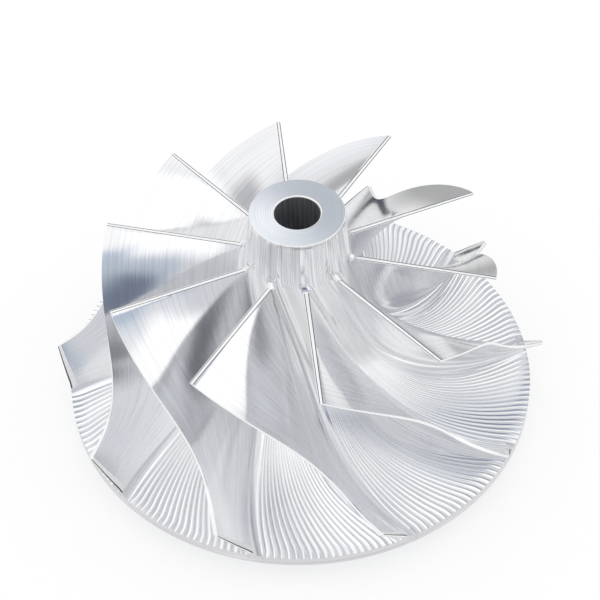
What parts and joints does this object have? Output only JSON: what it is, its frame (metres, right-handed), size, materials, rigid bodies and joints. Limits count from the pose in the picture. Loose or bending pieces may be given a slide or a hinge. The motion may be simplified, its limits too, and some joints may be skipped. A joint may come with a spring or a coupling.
{
  "type": "compressor wheel",
  "caption": "Machined centrifugal compressor wheel with backswept blades, extended tips and a through bore, for drawing in and compressing air.",
  "frame": {"origin": "on the bore axis, at the rear seat face that the wheel stands on", "axes": "+Z along the bore axis towards the nose; the picture looks along +Y and down, with +X to the right"},
  "size_m": [0.075, 0.072, 0.0384],
  "materials": {
    "billet_aluminium": "bright, as turned and milled"
  },
  "bodies": {
    "root": {"compressor_wheel": "billet_aluminium"}
  },
  "joints": []
}
